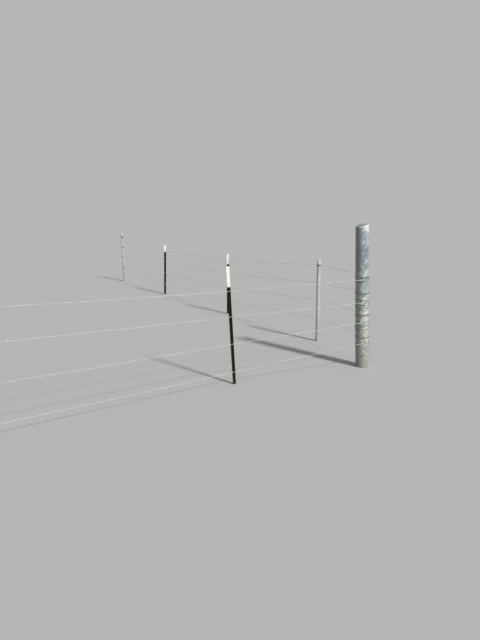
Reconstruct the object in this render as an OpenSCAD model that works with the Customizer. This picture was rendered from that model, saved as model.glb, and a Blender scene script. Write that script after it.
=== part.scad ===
// Corner of a four-strand livestock wire fence. A galvanised pipe corner post
// holds two runs: the front run heads along -X, the side run along +Y.
// The origin is the middle of the corner post's foot at ground level, +Z up.
// Every post is cut off level at the ground, and lengths are in millimetres.

/* [Front run] */
// Corner post to the front line post
front_bay_1 = 1550; // [1200:50:3000]
// Front line post to the front end post
front_bay_2 = 2495; // [1500:5:3500]
// Bend of the front run at its line post, degrees
front_turn = 11; // [0:1:20]

/* [Side run] */
// Heading of the first side bay from the front run's line, degrees
side_heading = 85.5; // [70:0.5:110]
// Corner post to the side pipe post
side_bay_1 = 1130; // [1000:10:2500]
// Bend of the side run at its pipe post, degrees
side_turn = 17.5; // [0:0.5:20]
// Side pipe post to the first side line post
side_bay_2 = 2165; // [1500:5:3500]
// First to second side line post
side_bay_3 = 2410; // [1500:5:3500]
// Second side line post to the side end post
side_bay_4 = 2305; // [1500:5:3500]

/* [Corner post] */
// Outside diameter of the corner pipe
corner_d = 141.3; // [110:0.1:170]
// Wall of the corner pipe
corner_wall = 6.6; // [5:0.1:9]
// Height of the corner post on its axis
corner_h = 1575; // [1450:5:1800]
// Slope of the sawn top, degrees
corner_cut = 10.7; // [0:0.1:15]
// Heading that the sawn top slopes down to, degrees
corner_cut_low = 201; // [0:1:359]
// Depth of the concrete fill below the sawn top
fill_recess = 6; // [5:1:40]
// Lean of the corner post, degrees
corner_lean = 3; // [0:0.5:4]
// Heading that the corner post leans to, degrees
corner_lean_dir = 158; // [0:1:359]

/* [Pipe posts] */
// Outside diameter of the pipe posts
pipe_d = 48.3; // [45:0.1:75]
// Wall of the pipe posts
pipe_wall = 3.7; // [3:0.1:5.5]
// Height of the side pipe post over its cap
side_pipe_h = 1100; // [1090:5:1400]
// Height of the side end post over its cap
side_end_h = 1180; // [1170:5:1400]
// Height of the front end post over its cap
front_end_h = 1200; // [1180:5:1400]
// Lean of the side pipe post, degrees
side_pipe_lean = 0.8; // [0:0.1:3]
// Heading that the side pipe post leans to, degrees
side_pipe_lean_dir = 158; // [0:1:359]

/* [Caps] */
// Length of the cap's skirt below its dome
cap_skirt = 50; // [30:1:60]
// Rise of the cap's dome
cap_rise = 13; // [8:1:18]
// Thickness of the cap
cap_t = 2; // [1.5:0.1:3]

/* [Bindings] */
// Thickness of the binding wire
binding_wire_d = 3.2; // [2.5:0.1:4]
// Turns in a binding
binding_turns = 5; // [3:1:7]

/* [T posts] */
// Width of the T post's flange
flange_w = 35; // [30:1:40]
// Thickness of the flange
flange_t = 3.2; // [2.8:0.1:5]
// Depth of the T post from the flange's face to the stem's edge
post_depth = 38; // [30:1:45]
// Thickness of the stem
stem_t = 3.6; // [3:0.1:6]
// Radius of the fillets between flange and stem
root_r = 3; // [1:0.5:6]
// Diameter of a stud where it leaves the flange
stud_d = 11; // [8:1:14]
// Diameter of a stud at its tip
stud_tip_d = 7; // [4:1:8]
// How far a stud stands out of the flange
stud_out = 6; // [4:0.5:8]
// Distance from stud to stud
stud_pitch = 53; // [45:1:60]
// Ground to the first stud
stud_first = 32; // [20:1:50]
// Length of the front line post above ground
front_line_h = 1202; // [1100:1:1400]
// Lean of the front line post, degrees
front_line_lean = 3.1; // [0:0.1:4]
// Heading that the front line post leans to, degrees
front_line_lean_dir = 170; // [0:1:359]
// Length of the first side line post above ground
side_line_1_h = 1010; // [990:5:1300]
// Length of the second side line post above ground
side_line_2_h = 1020; // [990:5:1300]
// Lean of the first side line post, degrees
side_line_1_lean = 0.3; // [0:0.1:4]
// Lean of the second side line post, degrees
side_line_2_lean = 2; // [0:0.1:4]
// Heading that the side line posts lean to, degrees
side_line_lean_dir = 338; // [0:1:359]

/* [Strands] */
// Thickness of the two-wire strand
strand_d = 5; // [4:0.5:6]
// Front strands on the corner post, from the top down
front_at_corner = [996, 744, 527, 289]; // [60:1:1100]
// Front strands on the line post, where they are kept clear of its studs
front_at_line = [959, 704, 423, 135]; // [60:1:1100]
// Front strands on the end post
front_at_end = [1048, 780, 453, 122]; // [60:1:1100]
// Side strands on the corner post
side_at_corner = [1017, 840, 598, 347]; // [60:1:1100]
// Lower three side strands on the pipe post, the top one crosses the binding
side_at_pipe = [790, 560, 310]; // [60:1:900]
// Side strands on the line posts, where they are kept clear of the studs
side_at_line = [905, 685, 455, 215]; // [60:1:950]
// Side strands on the end post
side_at_end = [1060, 830, 590, 320]; // [60:1:1100]

/* [Fastenings] */
// Turns of the front strands on the corner post over the one that meets the span
front_turns_over = [0, 1, 0, 0]; // [0:1:2]
// Turns of the front strands on the corner post under the one that meets the span
front_turns_under = [1, 2, 2, 1]; // [0:1:2]
// Distance between those turns, for each front strand
front_turn_gap = [20, 28, 42, 50]; // [6:1:60]
// Turns of the side strands on the corner post over the one that meets the span
side_turns_over = [1, 1, 1, 1]; // [0:1:2]
// Turns of the side strands on the corner post under the one that meets the span
side_turns_under = [0, 0, 0, 0]; // [0:1:2]
// Distance between those turns, for each side strand
side_turn_gap = [7, 7, 7, 7]; // [6:1:60]
// Turns of a strand round the end post
end_turns = 3; // [2:1:4]
// Distance between the turns on an end post
end_turn_gap = 11; // [6:1:12]
// Length of strand covered by its wound back tail
tail_l = 75; // [40:5:120]
// Thickness over the wound back tail
tail_d = 11; // [9.5:0.5:13]
// Post face to the start of the tail's winding
tail_start = 45; // [40:5:80]
// Thickness of the clip wire
clip_wire_d = 3.4; // [2.5:0.1:4]

/* [Clearances] */
// Gap between a piece and its seat
seat_gap = 0.3; // [0.2:0.05:0.4]
// Gap between a clip and what it holds
clip_gap = 0.5; // [0.4:0.05:0.8]

/* [Hidden] */
$fn = 48;

corner_r = corner_d / 2;
pipe_r = pipe_d / 2;
strand_r = strand_d / 2;
clip_r = clip_wire_d / 2;
tail_r = tail_d / 2;
binding_pitch = binding_wire_d + seat_gap;
binding_l = binding_turns * binding_pitch;
binding_r = pipe_r + seat_gap + binding_wire_d / 2;
cap_r = pipe_r + seat_gap + cap_t;
cap_h = cap_skirt + cap_rise;
hook_r = strand_r + clip_gap + clip_r;
corner_wrap_r = corner_r + seat_gap + strand_r;
pipe_wrap_r = pipe_r + seat_gap + strand_r;
hook_from = -120;
hook_sweep = 210;
buried = 60;

// A post is [foot, length, lean, heading of the lean, heading that it faces].
front_heading = 180;
front_heading_2 = front_heading + front_turn;
side_heading_2 = side_heading + side_turn;

function ahead(from, heading, bay) = from + bay * [cos(heading), sin(heading), 0];

front_line_foot = ahead([0, 0, 0], front_heading, front_bay_1);
front_end_foot = ahead(front_line_foot, front_heading_2, front_bay_2);
side_pipe_foot = ahead([0, 0, 0], side_heading, side_bay_1);
side_line_1_foot = ahead(side_pipe_foot, side_heading_2, side_bay_2);
side_line_2_foot = ahead(side_line_1_foot, side_heading_2, side_bay_3);
side_end_foot = ahead(side_line_2_foot, side_heading_2, side_bay_4);

front_face = front_heading + 90 + front_turn / 2;
side_face = side_heading_2 - 90;
corner = [[0, 0, 0], corner_h, corner_lean, corner_lean_dir, 0];
front_line = [front_line_foot, front_line_h, front_line_lean, front_line_lean_dir, front_face];
front_end = [front_end_foot, front_end_h, 0, 0, front_face];
side_post = [side_pipe_foot, side_pipe_h, side_pipe_lean, side_pipe_lean_dir, side_face - side_turn / 2];
side_line_1 = [side_line_1_foot, side_line_1_h, side_line_1_lean, side_line_lean_dir, side_face];
side_line_2 = [side_line_2_foot, side_line_2_h, side_line_2_lean, side_line_lean_dir, side_face];
side_end = [side_end_foot, side_end_h, 0, 0, side_face];

// Turns between the fence's frame and a post's own: +X out of the face it shows, +Z up its axis.
function turn_z(v, a) = [v.x * cos(a) - v.y * sin(a), v.x * sin(a) + v.y * cos(a), v.z];
function turn_y(v, a) = [v.x * cos(a) + v.z * sin(a), v.y, v.z * cos(a) - v.x * sin(a)];
function from_post(p, v) = p[0] + turn_z(turn_y(turn_z(v, p[4] - p[3]), p[2]), p[3]);
function to_post(p, q) = turn_z(turn_y(turn_z(q - p[0], -p[3]), -p[2]), p[3] - p[4]);

// Height h, moved by no more than keeps a strand clear of the studs above and below it.
stud_free = (stud_pitch - stud_d) / 2 - strand_r - seat_gap;
function stud_gap(h) = stud_first + (floor((h - stud_first) / stud_pitch) + 0.5) * stud_pitch;
function off_studs(h) = max(stud_gap(h) - stud_free, min(stud_gap(h) + stud_free, h));

// Point on a post's wrap circle where a line from q touches it, on the side given as 1 or -1.
function touch_angle(p, q, r, side) =
    let (v = to_post(p, q)) atan2(v.y, v.x) + side * acos(r / norm([v.x, v.y]));
function touch_point(p, q, r, side, h) =
    let (a = touch_angle(p, q, r, side)) from_post(p, [r * cos(a), r * sin(a), h]);

// Half the width of a clip on a T post and of the tie for strand i on the side pipe post.
line_clip_r = flange_w / 2 + clip_gap + clip_r;
function pipe_tie_r(i) = pipe_r + clip_gap + clip_r + (i == 0 ? binding_wire_d + seat_gap : 0);

// A strand lies straight along the face of a post that it passes, this far out and to each side.
line_out = seat_gap + strand_r;
line_half = line_clip_r + clip_r + strand_d;
function pipe_out(i) = pipe_tie_r(i) - clip_gap - clip_r + line_out;
function pipe_half(i) = pipe_tie_r(i) + clip_r + strand_d;
function binding_mid(h) = h - cap_h - seat_gap - binding_l / 2;
function pipe_height(i) = i == 0 ? binding_mid(side_pipe_h) : side_at_pipe[i - 1];

function line_point(p, h, along) = from_post(p, [line_out, along * line_half, off_studs(h)]);
function pipe_point(i, along) = from_post(side_post, [pipe_out(i), along * pipe_half(i), pipe_height(i)]);

// The front run's strands face -Y: the corner lies on the +Y side of the post's own frame.
function front_in(i) = line_point(front_line, front_at_line[i], 1);
function front_out(i) = line_point(front_line, front_at_line[i], -1);
function front_start(i) = touch_point(corner, front_in(i), corner_wrap_r, 1, front_at_corner[i]);
function front_stop(i) = touch_point(front_end, front_out(i), pipe_wrap_r, -1, front_at_end[i]);
function side_start(i) = touch_point(corner, pipe_point(i, -1), corner_wrap_r, -1, side_at_corner[i]);
function side_out(i) = line_point(side_line_2, side_at_line[i], 1);
function side_stop(i) = touch_point(side_end, side_out(i), pipe_wrap_r, 1, side_at_end[i]);

// Turns its children so that +Z runs from p to q, with p as the origin.
module along(p, q) {
    d = q - p;
    translate(p) rotate([0, acos(d.z / norm(d)), atan2(d.y, d.x)]) children();
}

module ring(r, wire_r, sweep = 360) {
    rotate_extrude(angle = sweep) translate([r, 0]) circle(r = wire_r);
}

module at_post(p) {
    translate(p[0]) rotate([0, 0, p[3]]) rotate([0, p[2], 0]) rotate([0, 0, p[4] - p[3]]) children();
}

// What stands above the ground of a post that goes on below it.
module above_ground(p) {
    w = 4 * corner_d;
    difference() {
        children();
        translate(p[0] + [-w / 2, -w / 2, -2 * buried]) cube([w, w, 2 * buried]);
    }
}

// Angle by which a line through three points bends at the middle one.
function bend(a, b, c) = acos((b - a) * (c - b) / (norm(b - a) * norm(c - b)));

// What is taken off the bars that meet at point i, so that they don't run into each other.
function is_inner(points, i) = i > 0 && i < len(points) - 1;
function bar_trim(points, i) =
    let (turn = is_inner(points, i) ? bend(points[i - 1], points[i], points[i + 1]) : 0)
    seat_gap / 2 + strand_r * tan(turn / 2);

// Straight stretches of a strand, cut at the posts that it passes so that each is clear of the next.
module strand(points) {
    for (i = [0 : len(points) - 2]) {
        from = bar_trim(points, i);
        to = norm(points[i + 1] - points[i]) - bar_trim(points, i + 1);
        along(points[i], points[i + 1]) translate([0, 0, from]) cylinder(r = strand_r, h = to - from);
    }
}

module front_strand(i) {
    color("silver") strand([front_start(i), front_in(i), front_out(i), front_stop(i)]);
}

module side_strand(i) {
    h = side_at_line[i];
    color("silver") strand([
        side_start(i), pipe_point(i, -1), pipe_point(i, 1),
        line_point(side_line_1, h, -1), line_point(side_line_1, h, 1),
        line_point(side_line_2, h, -1), side_out(i), side_stop(i)
    ]);
}

// Heights of a strand's further turns from the one that meets the span.
function turn_rises(over, under, gap) = [for (k = [-under : over]) if (k != 0) k * gap];
end_rises = turn_rises(end_turns - 1, 0, end_turn_gap);

// Turns of a strand round post p, which begin where the line from q touches it.
module wrap(p, q, r, side, h, rises) {
    start = touch_angle(p, q, r, side);
    slack = atan(seat_gap / r);
    skip = acos(1 - (strand_d + 2 * seat_gap) / r);
    at_post(p) {
        translate([0, 0, h]) rotate([0, 0, side > 0 ? start + slack : start + skip])
            ring(r, strand_r, 360 - skip - slack);
        for (rise = rises) translate([0, 0, h + rise]) ring(r, strand_r);
    }
}

// The tail of a strand wound back on its span, which leaves the post at p for q.
module tail(p, q) {
    along(p, q) translate([0, 0, tail_start]) difference() {
        cylinder(r = tail_r, h = tail_l);
        translate([0, 0, -1]) cylinder(r = strand_r + seat_gap, h = tail_l + 2);
    }
}

// Clip round the back of a post: a half ring about x = -back, with legs that hook over a strand at x = out.
module clip(r, back, out) {
    translate([-back, 0, hook_r]) rotate([0, 0, 90]) ring(r, clip_r, 180);
    for (s = [-1, 1]) translate([0, s * r, 0]) {
        translate([-back, 0, hook_r]) rotate([0, 90, 0]) cylinder(r = clip_r, h = back + out);
        for (x = [-back, out]) translate([x, 0, hook_r]) sphere(r = clip_r);
        translate([out, 0, 0]) rotate([90, 0, 0]) rotate([0, 0, hook_from]) ring(hook_r, clip_r, hook_sweep);
    }
}

module line_clips(p, heights) {
    color("gainsboro") for (h = heights) at_post(p) translate([0, 0, off_studs(h)])
        clip(line_clip_r, post_depth + clip_gap + clip_r - line_clip_r, line_out);
}

// Outline of a rolled T: a flange and a stem with round edges, and fillets where they meet.
module t_outline() {
    edge = (flange_w - flange_t) / 2;
    back = post_depth - stem_t / 2;
    translate([-flange_t, -edge]) square([flange_t, 2 * edge]);
    translate([-back, -stem_t / 2]) square([back, stem_t]);
    translate([-back, 0]) circle(d = stem_t);
    for (s = [0, 1]) mirror([0, s]) {
        translate([-flange_t / 2, edge]) circle(d = flange_t);
        difference() {
            translate([-flange_t - root_r, 0]) square([root_r + flange_t / 2, stem_t / 2 + root_r]);
            translate([-flange_t - root_r, stem_t / 2 + root_r]) circle(r = root_r);
        }
    }
}

module stud() {
    rotate([0, 90, 0]) cylinder(d1 = stud_d, d2 = stud_tip_d, h = stud_out);
    translate([-flange_t / 2, 0, 0]) rotate([0, 90, 0]) cylinder(d = stud_d, h = flange_t / 2);
}

// T post with a row of studs on its flange.
module line_post(p) {
    color("darkgreen") above_ground(p) at_post(p) {
        translate([0, 0, -buried]) linear_extrude(p[1] + buried) t_outline();
        for (h = [stud_first : stud_pitch : p[1] - stud_d]) translate([0, 0, h]) stud();
    }
}

module pipe_post(p) {
    l = p[1] - cap_rise - cap_t;
    color("lightsteelblue") above_ground(p) at_post(p) translate([0, 0, -buried]) difference() {
        cylinder(r = pipe_r, h = l + buried);
        translate([0, 0, -1]) cylinder(r = pipe_r - pipe_wall, h = l + buried + 2);
    }
}

// Skirt with a domed top, both this far inside the outer faces of the cap.
module cap_form(inset, from) {
    dome_r = (cap_r * cap_r + cap_rise * cap_rise) / (2 * cap_rise);
    intersection() {
        translate([0, 0, cap_h - dome_r]) sphere(r = dome_r - inset, $fn = 96);
        translate([0, 0, cap_h - dome_r]) cylinder(r = cap_r - inset, h = dome_r);
    }
    translate([0, 0, from]) cylinder(r = cap_r - inset, h = cap_h - dome_r + 1 - from);
}

module pipe_cap(p) {
    color("whitesmoke") at_post(p) translate([0, 0, p[1] - cap_h]) difference() {
        cap_form(0, 0);
        cap_form(cap_t, -1);
    }
}

// Close turns of dark wire right under the cap.
module binding(p) {
    color("dimgray") at_post(p) for (k = [0 : binding_turns - 1])
        translate([0, 0, binding_mid(p[1]) - binding_l / 2 + (k + 0.5) * binding_pitch])
            ring(binding_r, binding_wire_d / 2);
}

// What lies over the sawn top of the corner post, from this far down its axis.
module over_cut(drop) {
    reach = 2 * corner_d;
    translate([0, 0, corner_h - drop]) rotate([0, 0, corner_cut_low]) rotate([0, corner_cut, 0])
        translate([-reach, -reach, 0]) cube([2 * reach, 2 * reach, 2 * reach]);
}

// Pipe with a sloping sawn top.
module corner_pipe() {
    l = buried + corner_h + corner_d;
    color("lightgray") above_ground(corner) at_post(corner) difference() {
        translate([0, 0, -buried]) cylinder(r = corner_r, h = l);
        translate([0, 0, -2 * buried]) cylinder(r = corner_r - corner_wall, h = l + 2 * buried);
        over_cut(0);
    }
}

// Concrete inside the corner pipe, struck off just below the sawn top.
module corner_fill() {
    color("tan") above_ground(corner) at_post(corner) difference() {
        translate([0, 0, -buried])
            cylinder(r = corner_r - corner_wall - seat_gap / 2, h = buried + corner_h + corner_d);
        over_cut(fill_recess);
    }
}

module front_corner_wraps() {
    color("silver") for (i = [0 : 3])
        wrap(corner, front_in(i), corner_wrap_r, 1, front_at_corner[i],
            turn_rises(front_turns_over[i], front_turns_under[i], front_turn_gap[i]));
}

module side_corner_wraps() {
    color("silver") for (i = [0 : 3])
        wrap(corner, pipe_point(i, -1), corner_wrap_r, -1, side_at_corner[i],
            turn_rises(side_turns_over[i], side_turns_under[i], side_turn_gap[i]));
}

module front_corner_tails() {
    color("silver") for (i = [0 : 3]) tail(front_start(i), front_in(i));
}

module side_corner_tails() {
    color("silver") for (i = [0 : 3]) tail(side_start(i), pipe_point(i, -1));
}

module front_end_wraps() {
    color("silver") for (i = [0 : 3])
        wrap(front_end, front_out(i), pipe_wrap_r, -1, front_at_end[i], end_rises);
}

module front_end_tails() {
    color("silver") for (i = [0 : 3]) tail(front_stop(i), front_out(i));
}

module side_end_wraps() {
    color("silver") for (i = [0 : 3])
        wrap(side_end, side_out(i), pipe_wrap_r, 1, side_at_end[i], end_rises);
}

module side_end_tails() {
    color("silver") for (i = [0 : 3]) tail(side_stop(i), side_out(i));
}

module side_pipe_ties() {
    color("gainsboro") for (i = [0 : 3]) at_post(side_post) translate([0, 0, pipe_height(i)])
        clip(pipe_tie_r(i), 0, pipe_out(i));
}

corner_pipe();
corner_fill();
front_strand(0);  // front_strand_1
front_strand(1);  // front_strand_2
front_strand(2);  // front_strand_3
front_strand(3);  // front_strand_4
side_strand(0);  // side_strand_1
side_strand(1);  // side_strand_2
side_strand(2);  // side_strand_3
side_strand(3);  // side_strand_4
front_corner_wraps();
side_corner_wraps();
front_corner_tails();
side_corner_tails();
line_post(front_line);  // front_line_post
line_clips(front_line, front_at_line);  // front_line_clips
pipe_post(front_end);  // front_end_pipe
pipe_cap(front_end);  // front_end_cap
binding(front_end);  // front_end_binding
front_end_wraps();
front_end_tails();
pipe_post(side_post);  // side_pipe
pipe_cap(side_post);  // side_pipe_cap
binding(side_post);  // side_pipe_binding
side_pipe_ties();
line_post(side_line_1);  // side_line_post_1
line_clips(side_line_1, side_at_line);  // side_line_clips_1
line_post(side_line_2);  // side_line_post_2
line_clips(side_line_2, side_at_line);  // side_line_clips_2
pipe_post(side_end);  // side_end_pipe
pipe_cap(side_end);  // side_end_cap
binding(side_end);  // side_end_binding
side_end_wraps();
side_end_tails();
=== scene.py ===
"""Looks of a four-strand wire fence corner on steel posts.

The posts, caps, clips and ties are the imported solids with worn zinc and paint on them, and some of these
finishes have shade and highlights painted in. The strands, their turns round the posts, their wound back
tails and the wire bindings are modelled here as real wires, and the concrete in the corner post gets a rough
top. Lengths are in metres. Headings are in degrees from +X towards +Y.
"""

import math

import bpy
import numpy as np
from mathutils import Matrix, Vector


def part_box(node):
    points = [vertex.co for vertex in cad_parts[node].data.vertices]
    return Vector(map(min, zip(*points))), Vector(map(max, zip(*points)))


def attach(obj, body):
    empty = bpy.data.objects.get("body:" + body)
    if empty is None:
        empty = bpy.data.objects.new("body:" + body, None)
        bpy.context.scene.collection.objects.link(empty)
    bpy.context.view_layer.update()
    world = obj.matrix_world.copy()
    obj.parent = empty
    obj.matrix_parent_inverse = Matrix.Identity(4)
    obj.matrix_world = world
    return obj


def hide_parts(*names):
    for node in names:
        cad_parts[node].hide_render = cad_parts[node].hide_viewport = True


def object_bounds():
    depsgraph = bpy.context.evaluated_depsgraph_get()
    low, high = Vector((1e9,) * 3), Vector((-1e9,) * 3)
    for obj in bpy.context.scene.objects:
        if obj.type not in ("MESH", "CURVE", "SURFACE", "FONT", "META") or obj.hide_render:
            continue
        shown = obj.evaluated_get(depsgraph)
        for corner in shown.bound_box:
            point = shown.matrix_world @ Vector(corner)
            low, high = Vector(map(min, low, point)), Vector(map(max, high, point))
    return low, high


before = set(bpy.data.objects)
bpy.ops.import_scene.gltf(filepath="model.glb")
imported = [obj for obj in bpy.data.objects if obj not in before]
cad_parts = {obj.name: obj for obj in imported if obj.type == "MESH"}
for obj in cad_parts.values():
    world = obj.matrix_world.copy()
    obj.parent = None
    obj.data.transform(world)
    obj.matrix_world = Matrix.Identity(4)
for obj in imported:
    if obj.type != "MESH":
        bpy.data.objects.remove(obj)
CAD_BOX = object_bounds()

MM = 0.001
TURN = 2 * math.pi

# Camera, which is turned to the right of +Y
CAMERA_PLACE = (-3.2235, -4.3108, 1.7286)
CAMERA_DOWN = 12.907
CAMERA_TURN = 21.9
LENS = 27

# Light, backdrop and floor
SUN_HEADING = 294
SUN_HEIGHT = 42
SUN_STRENGTH = 3.0
SUN_SPREAD = 5
SUN_COLOUR = (1.0, 0.97, 0.92)
SKY_COLOUR = (0.93, 0.96, 1.0)
SKY_DIMMEST = 0.06
SKY_BRIGHTEST = 0.50
SKY_LIFT = 0.35
BACKDROP = (0.465, 0.475, 0.470)
FLOOR_REACH = 400
FLOOR_DROP = 0.5 * MM
FLOOR_FADE_START = 5
FLOOR_FADE_END = 40

# Strands: two line wires with barbs
STRAND_R = 2.5 * MM
WIRE_R = STRAND_R / 2
BARB_SPACING = 127 * MM
BARB_DRIFT = 4 * MM
LAY = BARB_SPACING / 3
STEP = LAY / 9
BEND_ROUNDS = 4

# Sag of a long bay, and ripples of a length and a height that each strand and bay shifts along
LONG_BAY = 2.4
SAG = 5 * MM
RIPPLES = ((0.83, 1.0 * MM), (0.31, 0.6 * MM), (0.147, 0.25 * MM))
STRAND_SHIFT = 2.4
BAY_SHIFT = 1.7

# Barbs: two short wires coiled side by side round a strand
BARB_R = 1.0 * MM
BARB_COIL_R = STRAND_R + 0.9 * BARB_R
BARB_TURNS = 2
BARB_TURN_POINTS = 9
BARB_PITCH = 2.1 * MM
BARB_POINT = 9 * MM
BARB_CUT = 2.5 * MM
BARB_TIP_R = 0.2 * BARB_R
BARB_LIFT = 0.25
BARB_SPLAY = 0.3
BARB_ROLL = 2.4
BARB_PAIR_ROLL = 2.7
BARB_CLEAR_OF_POST = 42 * MM

# Turns round a post. The last one rides over the others and comes down to the strand
TURN_STEP = 0.9 * STEP
TURN_STEP_ANGLE = 0.13
TURN_ROUNDS = 3
CLIMB = 0.28
CLIMB_HEADING = 50
CROSSING = 0.6
RIDE_START = math.radians(165)
RIDE_ARC = math.radians(60)
SEAT_ARC = math.radians(110)
WAVER = 0.8 * MM
WAVER_RATE = 2.3
WAVER_SHIFT = 40
BARB_STANDOFF = 1.8 * MM
BARB_STANDOFF_REACH = 12 * MM
BARB_LEAN = 0.35
BARB_LEAN_DRIFT = 0.2

# Tail wound back on the strand
TAIL_START = 45 * MM
TAIL_L = 75 * MM
TAIL_TURNS = 12
TAIL_TURN_POINTS = 10
TAIL_LEAD = 0.3
TAIL_CLOSE = 0.72
TAIL_OPENING = 0.2
TAIL_COIL_R = STRAND_R + 1.05 * WIRE_R
TAIL_END = 7 * MM
TAIL_LIFT = 0.25
SETTLE_L = 22 * MM

# Bindings under the caps, with the heading of each one's twisted ends
BINDING_R = 1.6 * MM
BINDING_STEP = 0.8 * MM
BINDING_TURN_POINTS = 36
PIGTAIL_L = 20 * MM
PIGTAIL_LAY = 9 * MM
PIGTAIL_STEP = 1 * MM
PIGTAIL_SPLAY = 0.9
PIGTAIL_HEADINGS = {"side_pipe_binding": 250, "side_end_binding": 250, "front_end_binding": 290}

# Rough top of the concrete
TOP_ROWS = 26
TOP_COLUMNS = 84
TOP_MIDDLE = 5 * MM
TOP_LIFT = 1.6 * MM
TOP_CROWN = 3.5 * MM
TOP_LUMPS = 1.1 * MM
TOP_GRAIN = 0.35 * MM
TOP_LEAST = 0.2 * MM
TOP_EDGE = 3 * MM
TOP_CLEAR = 0.05 * MM

# Marks on the corner post: heading, height, and how far each reaches sideways and up
CORNER_R = 70.65 * MM
HIGH_STAIN = (284, 1.26, 0.055, 0.140)
LOW_STAIN = (275, 0.93, 0.050, 0.050)
PALE_BAND = (255, 1.06, 0.060, 0.030)
PALE_STREAK = (290, 0.56, 0.045, 0.280)
# A pale patch high on the sunny side, which is a painted highlight.
SUNNY_TOP_HIGHLIGHT = (288, 1.545, 0.055, 0.045)
EARTH_SPLASH = (205, 0.0, 0.055, 0.055)
PATCH_RAGGED = 1.98
DIRTY_HEADING = 323
# Heading of a ragged band of painted shade on the corner post, darker higher up.
SHADE_BAND_HEADING = 185
PALE_CONCRETE_HEADING = 338

# Cells in the finishes per metre, and how far they wander
SPANGLE = 70
SPANGLE_WARP = 0.008
STONES = 105
STONES_WARP = 0.007
PITS = 230
PITS_WARP = 0.002

# Length of the white on each T post
WHITE_TIPS = {"front_line_post": 0.203, "side_line_post_1": 0.165, "side_line_post_2": 0.140}


def unit(v):
    """Rows of v at length one."""
    return v / np.linalg.norm(v, axis=-1, keepdims=True)


def ease(t):
    """Smooth step from 0 to 1."""
    t = np.clip(t, 0, 1)
    return t * t * (3 - 2 * t)


def across(v, axis):
    """The part of v at right angles to axis, row by row."""
    return v - np.sum(v * axis, axis=-1, keepdims=True) * axis


def compass(heading):
    """The level way that a heading points."""
    return np.array([math.cos(math.radians(heading)), math.sin(math.radians(heading)), 0])


def facing(heading, up):
    """The way at right angles to a post's axis that is nearest to a heading."""
    return unit(across(compass(heading), up))


def lengths(path):
    """Distance along a path at each of its points."""
    steps = np.linalg.norm(np.diff(path, axis=0), axis=1)
    return np.concatenate([[0], np.cumsum(steps)])


def resample(path, step):
    """The same line with points at even steps."""
    run = lengths(path)
    at = np.linspace(0, run[-1], max(2, round(run[-1] / step) + 1))
    return np.stack([np.interp(at, run, path[:, k]) for k in range(3)], axis=1)


def soften(path, rounds):
    """Rounds the corners of an evenly sampled path, with its ends kept."""
    out = path.copy()
    for _ in range(rounds):
        out[1:-1] = (out[:-2] + 2 * out[1:-1] + out[2:]) / 4
    return out


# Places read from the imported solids
def solids(node):
    """The points of each separate solid of a CAD node."""
    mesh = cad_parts[node].data
    points = np.empty(len(mesh.vertices) * 3)
    mesh.vertices.foreach_get("co", points)
    places, place_of = np.unique(points.reshape(-1, 3).round(6), axis=0, return_inverse=True)
    edges = np.empty(len(mesh.edges) * 2, int)
    mesh.edges.foreach_get("vertices", edges)
    a, b = place_of.reshape(-1)[edges.reshape(-1, 2)].T
    label = np.arange(len(places))
    while True:
        before = label.copy()
        low = np.minimum(label[a], label[b])
        np.minimum.at(label, a, low)
        np.minimum.at(label, b, low)
        label = label[label]
        if (label == before).all():
            return [places[label == k] for k in np.unique(label)]


def bar_ends(points):
    """Middles of the two ends of a straight bar."""
    middle = (points.min(0) + points.max(0)) / 2
    far = points[np.argmax(np.linalg.norm(points - middle, axis=1))]
    side = (points - middle) @ (far - middle) > 0
    return points[side].mean(0), points[~side].mean(0)


def strand_line(node, start):
    """Corners of a strand's line, from the end that is nearest to start."""
    bars = [bar_ends(points) for points in solids(node)]
    line = []
    here = np.array(start, float)
    while bars:
        gaps = [min(np.linalg.norm(end - here) for end in bar) for bar in bars]
        near, far = sorted(bars.pop(int(np.argmin(gaps))), key=lambda end: np.linalg.norm(end - here))
        line[-1:] = [(line[-1] + near) / 2] if line else [near]
        line.append(far)
        here = far
    return np.array(line)


def is_closed(ring):
    """Whether a ring goes all the way round, so that its points lie evenly about their middle."""
    away = np.linalg.norm(ring - ring.mean(0), axis=1)
    return np.ptp(away) < 3 * STRAND_R


def rings_of(node):
    """A point on a post's axis and the axis, from the rings on it, with the heights of the rings."""
    rings = solids(node)
    middles = sorted((ring.mean(0) for ring in rings if is_closed(ring)), key=lambda middle: middle[2])
    origin = middles[0]
    up = unit(middles[-1] - origin)
    return origin, up, np.sort([((ring - origin) @ up).mean() for ring in rings])


# Objects in the scene
def show(name, data):
    """An object with this data, linked into the scene."""
    thing = bpy.data.objects.new(name, data)
    bpy.context.scene.collection.objects.link(thing)
    return thing


def place(name, points, faces, material, slot, *nodes):
    """Makes a smooth piece of the fence, which stands for any CAD nodes that are named."""
    mesh = bpy.data.meshes.new(name)
    mesh.from_pydata(points.tolist(), [], faces)
    mesh.shade_smooth()
    mesh.materials.append(material)
    thing = show(name, mesh)
    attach(thing, "root")
    if nodes:
        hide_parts(*nodes)


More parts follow.
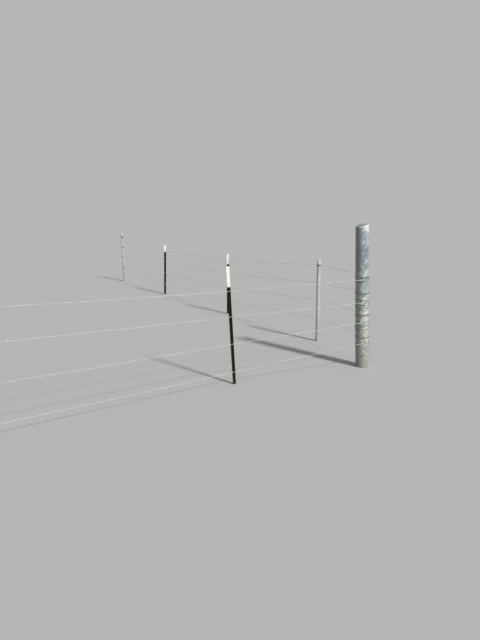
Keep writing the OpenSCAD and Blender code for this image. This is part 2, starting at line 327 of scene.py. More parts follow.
# Wires as meshes
class Wires:
    """Gathers the tubes of one piece, each swept along its own path."""

    def __init__(self):
        self.points = []
        self.faces = []
        self.count = 0

    def sweep(self, path, side, radius, sides=6):
        """A tube along path. side is a vector at each point that doesn't run along the path."""
        ahead = unit(np.gradient(path, axis=0))
        out = unit(across(side, ahead))
        over = np.cross(ahead, out)
        angle = np.arange(sides) * TURN / sides
        spokes = out[:, None] * np.cos(angle)[:, None] + over[:, None] * np.sin(angle)[:, None]
        rings = path[:, None] + np.broadcast_to(radius, len(path))[:, None, None] * spokes
        first = np.arange(len(path) - 1)[:, None] * sides + np.arange(sides) + self.count
        second = np.arange(len(path) - 1)[:, None] * sides + (np.arange(sides) + 1) % sides + self.count
        quads = np.stack([first, second, second + sides, first + sides], axis=-1)
        self.points.append(rings.reshape(-1, 3))
        self.faces += quads.reshape(-1, 4).tolist()
        self.faces.append(list(range(self.count + sides - 1, self.count - 1, -1)))
        self.count += rings.shape[0] * sides
        self.faces.append(list(range(self.count - sides, self.count)))

    def piece(self, name, material, slot, *nodes):
        """Puts the tubes in the scene in place of these CAD nodes."""
        place(name, np.concatenate(self.points), self.faces, material, slot, *nodes)


def twist(path, up, phase):
    """Paths of the two wires twisted along a line, each with the side that it lies on."""
    ahead = unit(np.gradient(path, axis=0))
    out = unit(across(up, ahead))
    over = np.cross(ahead, out)
    angle = (phase + TURN * lengths(path) / LAY)[:, None]
    side = np.cos(angle) * out + np.sin(angle) * over
    return [(path + way * WIRE_R * side, way * side) for way in (1, -1)]


def barb(wires, middle, ahead, out, faces):
    """Two short wires coiled round a strand. faces are the sides of the strand that their points lie on."""
    over = np.cross(ahead, out)
    coil_l = BARB_TURNS * BARB_PITCH
    for k, face in enumerate(faces):
        turned = np.linspace(0, BARB_TURNS * TURN, BARB_TURNS * BARB_TURN_POINTS + 1)
        angle = face + turned[:, None]
        spoke = np.cos(angle) * out + np.sin(angle) * over
        along = (k - 0.5) * coil_l + np.linspace(-0.5, 0.5, len(angle))[:, None] * coil_l
        coil = middle + along * ahead + BARB_COIL_R * spoke
        tangent = -math.sin(face) * out + math.cos(face) * over
        flare = BARB_LIFT * spoke[0] + (2 * k - 1) * BARB_SPLAY * ahead
        reach = np.array([[BARB_POINT], [BARB_POINT - BARB_CUT], [0.35 * BARB_POINT]])
        start = coil[0] - reach * unit(tangent - flare)
        end = coil[-1] + reach[::-1] * unit(tangent + flare)
        path = np.concatenate([start, coil, end])
        side = np.concatenate([spoke[[0] * 3], spoke, spoke[[-1] * 3]])
        radius = np.full(len(path), BARB_R)
        radius[[0, -1]] = BARB_TIP_R
        wires.sweep(path, side, radius, sides=5)


# Strands between the posts
def slack(at, knots, number):
    """How far a strand hangs and wavers off its straight line. It is straight on the posts."""
    shift = np.zeros((len(at), 3))
    for bay, (a, b) in enumerate(zip(knots[0::2], knots[1::2])):
        t = np.clip((at - a) / (b - a), 0, 1)
        belly = 4 * t * (1 - t)
        shift[:, 2] -= SAG * belly * ((b - a) / LONG_BAY) ** 2
        for wave, height in RIPPLES:
            angle = TURN * at / wave + STRAND_SHIFT * number + BAY_SHIFT * bay
            shift[:, 2] += ease(3 * belly) * height * np.sin(angle)
            shift[:, 0] += ease(3 * belly) * height * np.sin(1.3 * angle + 1)
    return shift


def strand(node, number, material):
    """A strand from the post that it starts on to the one that it ends on, as twisted wires with barbs.

    It returns the strand's path and the distance along it at each point.
    """
    line = strand_line(node, (0, 0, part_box("corner_pipe")[1].z))
    knots = lengths(line)
    path = soften(resample(line, STEP), BEND_ROUNDS)
    at = lengths(path)
    path = path + slack(at, knots, number)
    up = np.broadcast_to([0.0, 0, 1], path.shape)
    wires = Wires()
    for wire, side in twist(path, up, 0):
        wires.sweep(wire, side, WIRE_R)
    ahead = unit(np.gradient(path, axis=0))
    clear = TAIL_START + TAIL_L + BARB_CLEAR_OF_POST / 2
    posts = knots[1:-1].reshape(-1, 2).mean(1)
    for k in range(1, int(knots[-1] / BARB_SPACING)):
        along = BARB_SPACING * k + BARB_DRIFT * math.sin(2.1 * k + number)
        at_end = min(along, knots[-1] - along) < clear
        if at_end or np.abs(posts - along).min() < BARB_CLEAR_OF_POST:
            continue
        i = np.searchsorted(at, along)
        face = BARB_ROLL * k + number
        barb(wires, path[i], ahead[i], unit(across(up[i], ahead[i])), (face, face + BARB_PAIR_ROLL))
    wires.piece("barbed_" + node, material, "strand_wire", node)
    return path, at


# Turns round the post and wound back tails
def turns_path(start, ahead, origin, up, heights):
    """Line of the turns from where the strand meets its post to where the tail leaves for the strand.

    Each turn lies level at its own height, and climbs or drops to the next one at CLIMB_HEADING.
    """
    out = across(start - origin, up)
    r = np.linalg.norm(out)
    out = out / r
    over = np.cross(up, out) * np.sign(np.cross(out, ahead) @ up)
    ridden = r + 2 * STRAND_R
    leave = math.atan2(TAIL_START, r) + math.acos(ridden / math.hypot(r, TAIL_START))
    end = len(heights) * TURN - leave
    theta = np.linspace(0, end, round(end * r / min(TURN_STEP, TURN_STEP_ANGLE * r)))
    height = np.full(len(theta), heights[0])
    run = theta * r
    barbs = wrap_barbs(end * r)
    bump = sum(np.exp(-(((run - along) / BARB_STANDOFF_REACH) ** 2)) for along in barbs)
    radius = r + BARB_STANDOFF * bump
    far_side = compass(CLIMB_HEADING)
    climb_at = math.atan2(far_side @ over, far_side @ out) / TURN % 1
    if climb_at < CLIMB / 2:
        climb_at += 1
    for k, (here, there) in enumerate(zip(heights, heights[1:])):
        past = (theta / TURN - k - climb_at) / CLIMB
        height += (there - here) * ease(past + 0.5)
        if min(here, there) < heights[0] < max(here, there):
            radius += (ridden - r) * np.exp(-((past / CROSSING) ** 2))
    seat_height = heights[0] + math.copysign(STRAND_R, heights[-1] - heights[0])
    height += (seat_height - heights[-1]) * ease((theta - end) / SEAT_ARC + 1)
    radius += (ridden - r) * ease((theta - end + RIDE_START) / RIDE_ARC)
    height += WAVER * np.sin(WAVER_RATE * theta + WAVER_SHIFT * heights[0]) * ease(theta)
    spoke = np.cos(theta)[:, None] * out + np.sin(theta)[:, None] * over
    return origin + height[:, None] * up + radius[:, None] * spoke, spoke


def wrap_barbs(length):
    """Where the barbs are along the turns. The stretch that crosses the other turns has none."""
    return np.arange(0.35 * BARB_SPACING, 0.8 * length, BARB_SPACING)


def tail_coil(meet, away, side, over, wire):
    """One wire of the tail: close turns round the strand that open out, and a cut end that stands off."""
    t = np.linspace(0, 1, TAIL_TURNS * TAIL_TURN_POINTS)
    angle = (TURN * (0.25 + (TAIL_TURNS + TAIL_LEAD * wire) * t))[:, None]
    along = (2.1 * WIRE_R * wire + TAIL_L * (TAIL_CLOSE * t + TAIL_OPENING * t * t))[:, None]
    spoke = np.cos(angle) * side + np.sin(angle) * over
    coil = meet + along * away + TAIL_COIL_R * spoke
    last = unit(coil[-1] - coil[-2])
    free = np.array([[0.3], [0.65], [1.0]]) * TAIL_END
    end = coil[-1] + free * unit(last + TAIL_LIFT * spoke[-1])
    return np.concatenate([coil, end]), np.concatenate([spoke, spoke[[-1] * 3]])


def tie_off(wraps, tails, start, ahead, phase, origin, up, heights):
    """A strand's turns round its post and its tail. ahead is the way the strand runs onto the post."""
    line, spoke = turns_path(start, ahead, origin, up, heights)
    away = -ahead
    meet = start + TAIL_START * away
    side = unit(across(line[-1] - meet, away))
    over = np.cross(side, away)
    over = over * np.sign(over @ up) * np.sign(heights[-1] - heights[0])
    seat = meet + TAIL_COIL_R * over
    straight = resample(np.array([line[-1], seat]), STEP)[1:]
    path = soften(np.concatenate([line, straight]), TURN_ROUNDS)
    spoke = np.concatenate([spoke, spoke[[-1] * len(straight)]])
    at = lengths(path)
    last = unit(path[-1] - path[-3])
    settle = ease((at - at[-1]) / SETTLE_L + 1)[:, None]
    lift = np.broadcast_to(up, path.shape)
    for wire, (pair, outward) in enumerate(twist(path, lift, phase)):
        coil, coil_side = tail_coil(meet, away, side, over, wire)
        lane = coil[0] + (at - at[-1])[:, None] * last
        pair = pair * (1 - settle) + lane * settle
        pair_side = outward * (1 - settle) + spoke * settle * 0.2 + coil_side[0] * settle
        wraps.sweep(pair, pair_side, WIRE_R)
        tails.sweep(coil, coil_side, WIRE_R)
    tangent = unit(np.gradient(path, axis=0))
    for k, along in enumerate(wrap_barbs(at[-1] - np.linalg.norm(line[-1] - seat))):
        i = np.searchsorted(at, along)
        lean = BARB_LEAN + BARB_LEAN_DRIFT * math.sin(5 * k + phase)
        barb(wraps, path[i], tangent[i], unit(across(spoke[i], tangent[i])), (lean, -lean))


def tie_offs(strands, end, name, material, wound_material):
    """The turns and tails of one run's strands on the post at its start, end 0, or the one at its end, 1."""
    wraps_node = name + "_wraps"
    tails_node = name + "_tails"
    origin, up, rings = rings_of(wraps_node)
    ends = np.array([(path[-1 if end else 0] - origin) @ up for path, _ in strands])
    nearest = np.abs(rings[:, None] - ends).argmin(1)
    wraps = Wires()
    tails = Wires()
    for k, (path, at) in enumerate(strands):
        further = sorted(rings[nearest == k], key=lambda height: abs(height - ends[k]))[1:]
        heights = [ends[k], *further]
        if end:
            start, ahead, phase = path[-1], unit(path[-1] - path[-4]), TURN * at[-1] / LAY
        else:
            start, ahead, phase = path[0], unit(path[0] - path[3]), 0
        tie_off(wraps, tails, start, ahead, phase, origin, up, heights)
    wraps.piece(name + "_turns", wound_material, "strand_wire", wraps_node)
    tails.piece(name + "_wound_tails", material, "strand_wire", tails_node)


# Dark wire bound round the pipes under their caps
def binding(node, heading, material):
    """Close turns from the bottom up, whose ends come down over them and are twisted together."""
    origin, up, heights = rings_of(node)
    points = solids(node)[0]
    r = np.linalg.norm(across(points - origin, up), axis=1).max() - BINDING_R
    out = facing(heading, up)
    over = np.cross(up, out)

    def at(angle, radius, height):
        """Points at these angles and distances round the pipe's axis, at these heights."""
        angle, radius, height = (np.atleast_1d(x)[:, None] for x in (angle, radius, height))
        return origin + height * up + radius * (np.cos(angle) * out + np.sin(angle) * over)

    turns = len(heights) - 1
    theta = np.linspace(0, TURN * turns, BINDING_TURN_POINTS * turns)
    coil = at(theta, r, heights[0] + (heights[1] - heights[0]) * theta / TURN)
    root = heights[0] - 2.2 * BINDING_R
    low = at(
        [-0.30, -0.20, -0.10],
        [r + BINDING_R, r + 0.5 * BINDING_R, r],
        [root, heights[0] - 1.2 * BINDING_R, heights[0]],
    )
    over_turns = r + 2.05 * BINDING_R
    high = at(
        [theta[-1] + past for past in (0.12, 0.24, 0.28, 0.22, 0.02, -0.22)],
        [r + 0.7 * BINDING_R] + [over_turns] * 5,
        [heights[-1], heights[-1] - BINDING_R, heights[-2], heights[2], heights[0], root],
    )
    foot = at([-0.27], [r + 1.6 * BINDING_R], [root])[0]
    tip = at([-0.30], [r + 4 * BINDING_R], [root - PIGTAIL_L])[0]
    stem = resample(np.array([foot, tip]), PIGTAIL_STEP)
    ahead = unit(stem[1] - stem[0])
    first = unit(across(low[0] - foot, ahead))
    second = np.cross(ahead, first)
    run = lengths(stem)[:, None]
    angle = TURN * run / PIGTAIL_LAY
    spread = 1 + PIGTAIL_SPLAY * ease((run / PIGTAIL_L - 0.8) / 0.2)
    twisted = BINDING_R * spread * (np.cos(angle) * first + np.sin(angle) * second)
    path = [(stem - twisted)[:0:-1], low, coil, high, (stem + twisted)[1:]]
    path = soften(resample(np.concatenate(path), BINDING_STEP), TURN_ROUNDS)
    wires = Wires()
    wires.sweep(path, carried_side(path), BINDING_R, sides=8)
    wires.piece(node + "_wire", material, "binding_wire", node)


def carried_side(path):
    """A side vector carried along a path without twisting."""
    ahead = unit(np.gradient(path, axis=0))
    side = np.empty_like(path)
    side[0] = np.cross(ahead[0], [0.3, 0.5, 0.8])
    for k in range(1, len(path)):
        side[k] = unit(across(side[k - 1], ahead[k]))
    return side


# Sawn top of the corner post
def sawn_top(node):
    """The points of a round solid's sawn top, with two directions along it and the one that it faces."""
    points = solids(node)[0]
    rim = points[points[:, 2] > points[:, 2].mean()]
    out, _, up = np.linalg.svd(rim - rim.mean(0))[2]
    up = up * np.sign(up[2])
    return rim, out, np.cross(up, out), up


def rough_top(material):
    """The floated top of the concrete fill, a few millimetres proud of the CAD solid.

    Rings of points reach out to the solid's rim. Long waves make the lumps and short ones the grain.
    """
    rim, out, over, up = sawn_top("corner_fill")
    spread = np.stack([rim @ out, rim @ over, rim @ up], axis=1)
    centre = (spread.max(0) + spread.min(0)) / 2
    middle = centre @ np.stack([out, over, up])
    east, north = (spread - centre)[:, :2].T
    bearing = np.arctan2(north, east)
    order = np.argsort(bearing)
    angle = (np.arange(TOP_COLUMNS) * TURN / TOP_COLUMNS)[None]
    r = np.interp(angle, bearing[order], np.hypot(east, north)[order], period=TURN)
    radius = r * np.linspace(0, 1, TOP_ROWS + 1)[1:, None]
    x = radius * np.cos(angle)
    y = radius * np.sin(angle)
    lumps = np.sin(61 * x + 2) * np.sin(53 * y + 1) + 0.6 * np.sin(147 * x + 90 * y)
    lumps += 0.5 * np.sin(171 * y - 120 * x)
    grain = np.sin(610 * x + 3 * np.sin(200 * y)) * np.sin(570 * y + 2 * np.sin(260 * x))
    lift = TOP_LIFT + TOP_LUMPS * lumps + TOP_GRAIN * grain + TOP_CROWN * (1 - (radius / r) ** 2)
    lift = np.maximum(lift, TOP_LEAST) * ease((r - radius) / TOP_EDGE) + TOP_CLEAR
    top = middle + x[..., None] * out + y[..., None] * over + lift[..., None] * up
    points = np.concatenate([[middle + TOP_MIDDLE * up], top.reshape(-1, 3)])
    faces = [[0, 1 + k, 1 + (k + 1) % TOP_COLUMNS] for k in range(TOP_COLUMNS)]
    for row in range(TOP_ROWS - 1):
        first = 1 + row * TOP_COLUMNS
        for k in range(TOP_COLUMNS):
            a = first + k
            b = first + (k + 1) % TOP_COLUMNS
            faces.append([a, a + TOP_COLUMNS, b + TOP_COLUMNS, b])
    place("concrete_top", points, faces, material, "concrete")


# Finishes
def add_node(tree, kind, inputs, **settings):
    """A shader node. An input whose value is another node's output is linked to it, and else it is set."""
    node = tree.nodes.new("ShaderNode" + kind)
    for name, value in settings.items():
        setattr(node, name, value)
    for key, value in inputs.items():
        if isinstance(value, bpy.types.NodeSocket):
            tree.links.new(value, node.inputs[key])
        else:
            node.inputs[key].default_value = value
    return node


class Finish:
    """A material whose nodes are added one call at a time round one Principled shader.

    base is its colour so far, and lay() puts the next layer on it. Patterns are in object space, with
    scales per metre. Amounts and strengths run from 0 to 1.
    """

    def __init__(self, name, **plain):
        self.material = bpy.data.materials.new(name)
        self.material.use_nodes = True
        self.tree = self.material.node_tree
        self.shader = self.tree.nodes["Principled BSDF"]
        self.spot = self.add("TexCoord", {}).outputs["Object"]
        self.base = None
        for socket, value in plain.items():
            self.shader.inputs[socket.replace("_", " ")].default_value = value

    def add(self, kind, inputs, **settings):
        return add_node(self.tree, kind, inputs, **settings)

    def math(self, operation, a, b=0.0):
        return self.add("Math", {0: a, 1: b}, operation=operation).outputs[0]

    def times(self, a, b):
        return self.math("MULTIPLY", a, b)

    def plus(self, a, b):
        return self.math("ADD", a, b)

    def minus(self, a, b):
        return self.math("SUBTRACT", a, b)

    def noise(self, scale, detail=4.0, rough=0.55, stretch=(1, 1, 1), warp=0.0):
        """Soft noise round 0.5. A stretch under 1 along an axis draws its marks out that way."""
        spot = self.add("VectorMath", {0: self.spot, 1: stretch}, operation="MULTIPLY").outputs[0]
        inputs = {"Vector": spot, "Scale": scale, "Detail": detail, "Roughness": rough, "Distortion": warp}
        return self.add("TexNoise", inputs).outputs["Fac"]

    def cells(self, scale, warp, output="Color"):
        """Ragged cells: a colour for each one, or the distance from its middle."""
        wander = self.add("TexNoise", {"Vector": self.spot, "Scale": scale * 0.6, "Detail": 3.0})
        push = self.add("VectorMath", {0: wander.outputs["Color"], 1: (warp,) * 3}, operation="MULTIPLY")
        spot = self.add("VectorMath", {0: self.spot, 1: push.outputs[0]}).outputs[0]
        return self.add("TexVoronoi", {"Vector": spot, "Scale": scale}).outputs[output]

    def level(self, value, low, high, to_low=0.0, to_high=1.0):
        """to_low where value is low or less, to_high where it is high or more, and even in between."""
        inputs = {"Value": value, "From Min": low, "From Max": high, "To Min": to_low, "To Max": to_high}
        return self.add("MapRange", inputs).outputs[0]

    def blend(self, amount, a, b, how="MIX"):
        as_colour = [(*c, 1) if isinstance(c, tuple) else c for c in (a, b)]
        inputs = {0: amount, 6: as_colour[0], 7: as_colour[1]}
        return self.add("Mix", inputs, data_type="RGBA", blend_type=how).outputs[2]

    def lay(self, colour, amount, strength=None):
        """Lays a colour over the base by an amount, which a strength may weaken."""
        if strength is not None:
            amount = self.times(amount, strength)
        self.base = self.blend(amount, self.base, colour)

    def height(self):
        return self.add("SeparateXYZ", {0: self.spot}).outputs["Z"]

    def near_ground(self, pattern, uneven, low, high, strength):
        """The strength up to a low height, faded out at a high one, where a pattern shifts both."""
        return self.level(self.plus(self.height(), self.times(pattern, uneven)), low, high, strength, 0)

    def painted_shade_from_sun(self, strength):
        """The strength of painted shade where the surface is turned away from the sun's heading, and 0 where
        it faces it.
        """
        side = self.add("TexCoord", {}).outputs["Normal"]
        way = tuple(compass(SUN_HEADING))
        turned = self.add("VectorMath", {0: side, 1: way}, operation="DOT_PRODUCT").outputs["Value"]
        return self.level(turned, -0.4, 0.5, strength, 0)

    def reach(self, origin, way):
        """Distance of the surface from the plane through origin that way stands on."""
        moved = self.add("VectorMath", {0: self.spot, 1: tuple(origin)}, operation="SUBTRACT").outputs[0]
        return self.add("VectorMath", {0: moved, 1: tuple(way)}, operation="DOT_PRODUCT").outputs["Value"]

    def finish(self, rough=None, bumps=()):
        """Links the base, the roughness and the bumps: a height pattern, a depth and a strength for each."""
        links = self.tree.links
        links.new(self.base, self.shader.inputs["Base Color"])
        if rough is not None:
            links.new(rough, self.shader.inputs["Roughness"])
        normal = None
        for pattern, depth, strength in bumps:
            inputs = {"Height": pattern, "Distance": depth, "Strength": strength}
            if normal:
                inputs["Normal"] = normal
            normal = self.add("Bump", inputs).outputs[0]
        if normal:
            links.new(normal, self.shader.inputs["Normal"])
        return self.material


def corner_zinc():
    """Hot dip galvanising on the large pipe: spangle, bloom, blue grey stains, a dusty foot, painted shade
    on the side away from the sun and in a band, and painted highlights.
    """
    look = Finish("corner zinc", Metallic=0.15)
    origin, up, _ = rings_of("front_corner_wraps")
    r = CORNER_R
    # lit runs from 0 on the side away from the sun to 1 on its sunny side. The layers that use it paint
    # light and shade into the colour.
    lit = look.level(look.reach(origin, facing(SUN_HEADING, up)), -0.08 * r, 0.50 * r)

    def by_light(in_shade, in_sun):
        """A strength that is one value on the side away from the sun and another on the sunny side."""
        return look.level(lit, 0, 1, in_shade, in_sun)

    def patch(heading, height, wide, tall):
        """A ragged patch on the side that faces a heading, round a height, this far each way."""
        way = facing(heading, up)
        middle = origin + up * (height - origin[2]) / up[2] + r * way
        beside = look.times(look.reach(middle, np.cross(up, way)), 1 / wide)
        above = look.times(look.reach(middle, up), 1 / tall)
        off = look.math("SQRT", look.plus(look.times(beside, beside), look.times(above, above)))
        edge = look.times(look.minus(look.noise(38, 5, 0.65), 0.5), PATCH_RAGGED)
        near = look.level(look.reach(origin, way), 0, 0.3 * r)
        return look.times(look.level(look.plus(off, edge), 0.75, 1.15, 1, 0), near)

    flakes = look.add("SeparateColor", {0: look.cells(SPANGLE, SPANGLE_WARP)}).outputs[0]
    streaks = look.level(look.noise(60, 4, 0.6, stretch=(1, 1, 0.05)), 0.45, 0.66)
    bloom = look.level(look.noise(21, 7, 0.66, stretch=(1, 1, 0.6), warp=0.9), 0.46, 0.56)
    blotches = look.level(look.noise(26, 5, 0.6, stretch=(1, 1, 0.75), warp=0.6), 0.52, 0.58)
    mottle = look.level(look.noise(66, 5, 0.68, stretch=(1, 1, 0.45), warp=0.3), 0.47, 0.53)
    glints = look.level(look.noise(74, 5, 0.7, stretch=(1, 1, 0.5), warp=0.3), 0.52, 0.57)
    specks = look.level(look.noise(90, 4, 0.65), 0.52, 0.60)
    dirty_side = look.level(look.reach(origin, facing(DIRTY_HEADING, up)), 0.50 * r, 0.95 * r)

    look.base = look.blend(flakes, (0.29, 0.33, 0.34), (0.52, 0.56, 0.56))
    # Painted shade: a dark warm grey on the side away from the sun.
    look.lay((0.21, 0.20, 0.16), by_light(0.44, 0))
    look.lay((0.28, 0.32, 0.33), streaks, 0.35)
    # Bloom and blue grey blotches are the zinc's own tone, laid stronger on the sunny side as painted light.
    look.lay((0.74, 0.78, 0.75), bloom, by_light(0.30, 0.75))
    look.lay((0.21, 0.28, 0.35), blotches, by_light(0.45, 0.70))
    look.lay((0.17, 0.23, 0.30), patch(*HIGH_STAIN), 0.85)
    look.lay((0.25, 0.31, 0.36), patch(*LOW_STAIN), 0.5)
    look.lay((0.20, 0.24, 0.25), dirty_side, 0.35)
    look.lay((0.80, 0.82, 0.76), patch(*PALE_BAND), 0.55)
    look.lay((0.82, 0.84, 0.81), patch(*PALE_STREAK), 0.50)
    # Dark mottle and pale glints are spangle laid stronger on the sunny side as painted light. The pale
    # glints are also painted highlights.
    look.lay((0.19, 0.23, 0.24), mottle, by_light(0.40, 0.60))
    look.lay((0.88, 0.92, 0.90), glints, by_light(0.30, 0.66))
    # Painted highlight high on the sunny side.
    look.lay((0.93, 0.93, 0.90), patch(*SUNNY_TOP_HIGHLIGHT), 0.85)
    look.lay((0.25, 0.28, 0.29), specks, 0.3)

    # A ragged band of painted shade, stronger higher up.
    wander = look.times(look.noise(30, 5, 0.6, stretch=(1, 1, 0.3)), 0.02)
    shade_band = look.level(look.plus(look.reach(origin, facing(SHADE_BAND_HEADING, up)), wander), 0.042, 0.077)
    look.lay((0.15, 0.15, 0.13), shade_band, look.level(look.height(), 0.90, 1.15, 0.35, 0.60))
    # A tint, warm low and bluish high, laid weaker on the side away from the sun, which leaves painted warm
    # shade there.
    tint = look.blend(look.level(look.height(), 0.60, 1.30), (1.05, 1.03, 0.94), (0.88, 0.95, 0.99))
    look.base = look.blend(by_light(0.35, 1), look.base, tint, "MULTIPLY")

    look.lay((0.36, 0.31, 0.22), patch(*EARTH_SPLASH), 0.8)
    look.lay((0.28, 0.27, 0.23), look.near_ground(look.noise(9, 5, 0.6), 0.24, 0.20, 0.46, 0.50))
    # The pale sawn rim is bare metal, laid stronger on the sunny side as a painted highlight.
    rim, _, _, sawn = sawn_top("corner_pipe")
    edge = look.plus(look.reach(rim.mean(0), sawn), look.times(look.noise(55, 4, 0.6), 0.012))
    look.lay((0.92, 0.93, 0.91), look.level(edge, -0.008, 0.0), by_light(0.40, 0.90))

    rough = look.level(look.noise(34, 4), 0.3, 0.7, 0.38, 0.55)
    spangle = look.cells(SPANGLE, SPANGLE_WARP, "Distance")
    return look.finish(rough, [(spangle, 0.3 * MM, 0.25), (look.noise(220, 3), 0.2 * MM, 0.3)])


def pipe_zinc():
    """Galvanising on the thin pipes: fine grain, long streaks, dust at the foot, painted shade away from the
    sun.
    """
    look = Finish("pipe zinc", Metallic=0.2)
    grain = look.level(look.noise(90, 4, 0.6, stretch=(1, 1, 0.5)), 0.35, 0.65)
    streaks = look.level(look.noise(75, 4, 0.6, stretch=(1, 1, 0.04)), 0.40, 0.66)
    look.base = look.blend(grain, (0.54, 0.59, 0.59), (0.70, 0.75, 0.75))
    look.lay((0.38, 0.43, 0.45), streaks, 0.5)
    # Painted shade on the side away from the sun.
    look.lay((0.17, 0.21, 0.22), look.painted_shade_from_sun(0.42))
    look.lay((0.34, 0.33, 0.29), look.near_ground(look.noise(11, 5), 0.5, 0.30, 0.75, 0.55))
    rough = look.level(look.noise(40, 4), 0.3, 0.7, 0.38, 0.52)
    return look.finish(rough, [(look.noise(260, 3), 0.2 * MM, 0.3)])


def cap_metal():
    """Pressed aluminium cap, a little scuffed, with painted shade away from the sun."""
    look = Finish("cap metal", Metallic=0.45)
    scuffs = look.level(look.noise(160, 5, 0.65, stretch=(1, 1, 0.3)), 0.45, 0.62)
    look.base = look.blend(look.times(scuffs, 0.5), (0.80, 0.82, 0.83), (0.55, 0.57, 0.58))
    # Painted shade on the side away from the sun.
    look.lay((0.19, 0.21, 0.23), look.painted_shade_from_sun(0.40))
    rough = look.level(scuffs, 0, 1, 0.32, 0.48)
    return look.finish(rough, [(look.noise(70, 3), 0.4 * MM, 0.25)])


def strand_zinc(name, bright, worn):
    """Weathered galvanised wire with a little rust. The darker copy for the turns also carries painted
    shade.
    """
    look = Finish(name, Metallic=0.35)
    dull = look.level(look.noise(45, 4, 0.6), 0.38, 0.62)
    rust = look.level(look.noise(19, 5, 0.65), 0.66, 0.76)
    look.base = look.blend(dull, bright, worn)
    look.lay((0.24, 0.14, 0.08), rust, 0.5)
    rough = look.level(dull, 0, 1, 0.36, 0.52)
    return look.finish(rough, [(look.noise(900, 2), 0.1 * MM, 0.2)])


def clip_zinc():
    """Bright galvanised tie wire."""
    look = Finish("clip zinc", Metallic=0.4)
    dull = look.level(look.noise(120, 4, 0.6), 0.40, 0.65)
    look.base = look.blend(dull, (0.80, 0.81, 0.80), (0.52, 0.53, 0.53))
    rough = look.level(dull, 0, 1, 0.30, 0.45)
    return look.finish(rough, [(look.noise(800, 2), 0.1 * MM, 0.2)])


def binding_metal():
    """Dark annealed wire with a brown film."""
    look = Finish("binding metal", Metallic=0.35)
    film = look.level(look.noise(150, 5, 0.6), 0.42, 0.66)
    look.base = look.blend(film, (0.030, 0.030, 0.032), (0.085, 0.050, 0.030))
    rough = look.level(film, 0, 1, 0.42, 0.70)
    return look.finish(rough, [(look.noise(700, 3), 0.1 * MM, 0.3)])


def concrete():
    """Weathered cement with sand, worn stones and small pits, dirtier against the pipe, pale on one side."""
    look = Finish("concrete")
    rim, _, _, up = sawn_top("corner_fill")
    middle = tuple(rim.mean(0))
    sand = look.noise(420, 4, 0.7)
    wash = look.level(look.noise(30, 5, 0.6, warp=0.6), 0.35, 0.65)
    kind = look.add("SeparateColor", {0: look.cells(STONES, STONES_WARP)})
    size = look.level(kind.outputs[1], 0.3, 1, 0.10, 0.48)
    stones = look.level(look.minus(size, look.cells(STONES, STONES_WARP, "Distance")), 0, 0.06)
    stone_colour = look.blend(kind.outputs[0], (0.19, 0.17, 0.15), (0.42, 0.41, 0.39))
    pits = look.level(look.cells(PITS, PITS_WARP, "Distance"), 0.10, 0.20, 1, 0)
    pits = look.times(pits, look.level(look.noise(45, 3), 0.45, 0.60))
    away = look.add("VectorMath", {0: look.spot, 1: middle}, operation="DISTANCE").outputs["Value"]
    dirt = look.level(look.plus(away, look.times(look.noise(60, 4), 0.02)), 0.055, 0.074)
    to_pale = look.reach(middle, facing(PALE_CONCRETE_HEADING, up))
    pale = look.level(look.plus(to_pale, look.times(look.noise(70, 4), 0.02)), 0.012, 0.032)
    look.base = look.blend(wash, (0.17, 0.16, 0.135), (0.30, 0.29, 0.255))
    look.lay((0.105, 0.098, 0.082), look.level(sand, 0.45, 0.75), 0.55)
    look.lay(stone_colour, stones, 0.6)
    look.lay((0.06, 0.055, 0.045), pits, 0.8)
    look.lay((0.085, 0.078, 0.058), dirt, 0.7)
    look.lay((0.47, 0.46, 0.43), pale, 0.8)
    rough = look.level(sand, 0.3, 0.7, 0.80, 0.95)
    solid = look.minus(1.0, pits)
    return look.finish(rough, [(sand, 0.8 * MM, 0.6), (stones, 0.8 * MM, 0.5), (solid, 1.5 * MM, 0.6)])


def post_paint(node, tip):
    """Dark green enamel on a T post with a white dipped top. tip is the length of the white."""
    look = Finish("post paint " + node, Specular_IOR_Level=0.12)
    wobble = look.times(look.minus(look.noise(45, 3), 0.5), 0.010)
    above = look.plus(look.minus(look.height(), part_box(node)[1].z - tip), wobble)
    dust = look.level(look.noise(30, 5, 0.6, stretch=(1, 1, 0.3)), 0.45, 0.75)
    chips = look.level(look.noise(260, 4, 0.65), 0.60, 0.66)
    white = look.blend(look.times(dust, 0.5), (0.86, 0.87, 0.86), (0.66, 0.66, 0.62))
    look.base = look.blend(look.times(dust, 0.5), (0.002, 0.012, 0.002), (0.008, 0.023, 0.007))
    look.lay((0.10, 0.085, 0.055), look.near_ground(look.noise(14, 5), 0.2, 0.08, 0.22, 0.25))
    look.lay(white, look.level(above, -0.8 * MM, 0.8 * MM))
    look.lay((0.16, 0.10, 0.06), chips, 0.55)
    rough = look.level(dust, 0, 1, 0.34, 0.55)
    return look.finish(rough, [(look.noise(180, 3, 0.5), 0.3 * MM, 0.3)])


def paint(material, *nodes):
    """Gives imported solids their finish."""
    for node in nodes:
        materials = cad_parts[node].data.materials
        materials.clear()
        materials.append(material)


# Stage, light and camera
def floor_finish():
    """A plain pale floor that runs into the backdrop colour far away."""
    look = Finish("floor", Roughness=0.9)
    look.base = look.blend(look.noise(0.7, 2), (0.472, 0.475, 0.480), (0.488, 0.491, 0.496))
    look.finish()
    middle = (CAD_BOX[0] + CAD_BOX[1]) / 2
    below = {0: look.spot, 1: (middle.x, middle.y, 0)}
    off = look.add("VectorMath", below, operation="DISTANCE").outputs["Value"]
    far = look.level(off, FLOOR_FADE_START, FLOOR_FADE_END)
    glow = look.add("Emission", {"Color": (*BACKDROP, 1), "Strength": 1.0}).outputs[0]
    mixed = look.add("MixShader", {0: far, 1: look.shader.outputs[0], 2: glow}).outputs[0]
    look.tree.links.new(mixed, look.tree.nodes["Material Output"].inputs[0])
    return look.material


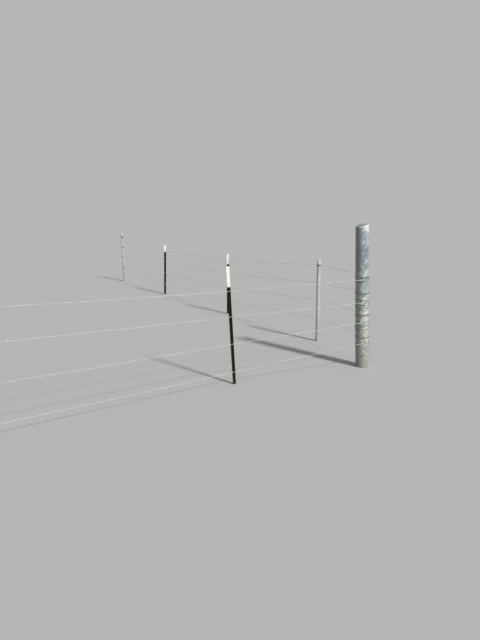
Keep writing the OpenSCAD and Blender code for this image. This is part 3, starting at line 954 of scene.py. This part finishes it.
def make_floor():
    mesh = bpy.data.meshes.new("floor")
    signs = ((-1, -1), (1, -1), (1, 1), (-1, 1))
    corners = [(x * FLOOR_REACH, y * FLOOR_REACH, -FLOOR_DROP) for x, y in signs]
    mesh.from_pydata(corners, [], [(0, 1, 2, 3)])
    mesh.materials.append(floor_finish())
    floor = show("floor", mesh)


def make_world():
    """Soft sky light from the sun's side. Camera, mirror and glass rays see the plain backdrop."""
    world = bpy.data.worlds.new("studio")
    bpy.context.scene.world = world
    world.use_nodes = True
    tree = world.node_tree
    tree.nodes.clear()
    sky = add_node(tree, "TexCoord", {}).outputs["Generated"]
    toward = tuple(compass(SUN_HEADING) + [0, 0, SKY_LIFT])
    sunward = add_node(tree, "VectorMath", {0: sky, 1: toward}, operation="DOT_PRODUCT").outputs["Value"]
    spread = {"From Min": -1.0, "From Max": 1.0, "To Min": SKY_DIMMEST, "To Max": SKY_BRIGHTEST}
    glow = add_node(tree, "MapRange", {"Value": sunward, **spread}).outputs[0]
    light = add_node(tree, "Background", {"Color": (*SKY_COLOUR, 1), "Strength": glow}).outputs[0]
    plain = add_node(tree, "Background", {"Color": (*BACKDROP, 1), "Strength": 1.0}).outputs[0]
    rays = add_node(tree, "LightPath", {}).outputs
    seen = rays["Is Camera Ray"]
    for kind in ("Is Glossy Ray", "Is Transmission Ray"):
        seen = add_node(tree, "Math", {0: seen, 1: rays[kind]}, operation="MAXIMUM").outputs[0]
    mixed = add_node(tree, "MixShader", {0: seen, 1: light, 2: plain}).outputs[0]
    add_node(tree, "OutputWorld", {0: mixed})


def make_sun():
    lamp = bpy.data.lights.new("sun", "SUN")
    lamp.energy = SUN_STRENGTH
    lamp.angle = math.radians(SUN_SPREAD)
    lamp.color = SUN_COLOUR
    sun = show("sun", lamp)
    sun.rotation_euler = (math.radians(90 - SUN_HEIGHT), 0, math.radians(SUN_HEADING + 90))


def make_camera():
    data = bpy.data.cameras.new("camera")
    data.lens = LENS
    data.clip_end = 2.5 * FLOOR_REACH
    camera = show("camera", data)
    camera.location = CAMERA_PLACE
    camera.rotation_euler = (math.radians(90 - CAMERA_DOWN), 0, math.radians(-CAMERA_TURN))
    bpy.context.scene.camera = camera


make_camera()
make_floor()
make_world()
make_sun()
bpy.context.scene.view_settings.view_transform = "Standard"

paint(corner_zinc(), "corner_pipe")
paint(pipe_zinc(), "side_pipe", "side_end_pipe", "front_end_pipe")
paint(cap_metal(), "side_pipe_cap", "side_end_cap", "front_end_cap")
paint(clip_zinc(), "front_line_clips", "side_line_clips_1", "side_line_clips_2", "side_pipe_ties")
for post, tip in WHITE_TIPS.items():
    paint(post_paint(post, tip), post)
cement = concrete()
paint(cement, "corner_fill")
rough_top(cement)

# The turns are duller than the strands and tails, and darker still with painted shade
wire_zinc = strand_zinc("strand zinc", (0.80, 0.81, 0.79), (0.58, 0.60, 0.59))
wound_zinc_shaded = strand_zinc("wound zinc shaded", (0.40, 0.41, 0.40), (0.24, 0.25, 0.24))
front = [strand(f"front_strand_{k + 1}", k, wire_zinc) for k in range(4)]
side = [strand(f"side_strand_{k + 1}", k + 4, wire_zinc) for k in range(4)]
tie_offs(front, 0, "front_corner", wire_zinc, wound_zinc_shaded)
tie_offs(side, 0, "side_corner", wire_zinc, wound_zinc_shaded)
tie_offs(front, 1, "front_end", wire_zinc, wound_zinc_shaded)
tie_offs(side, 1, "side_end", wire_zinc, wound_zinc_shaded)

dark_wire = binding_metal()
for node, heading in PIGTAIL_HEADINGS.items():
    binding(node, heading, dark_wire)
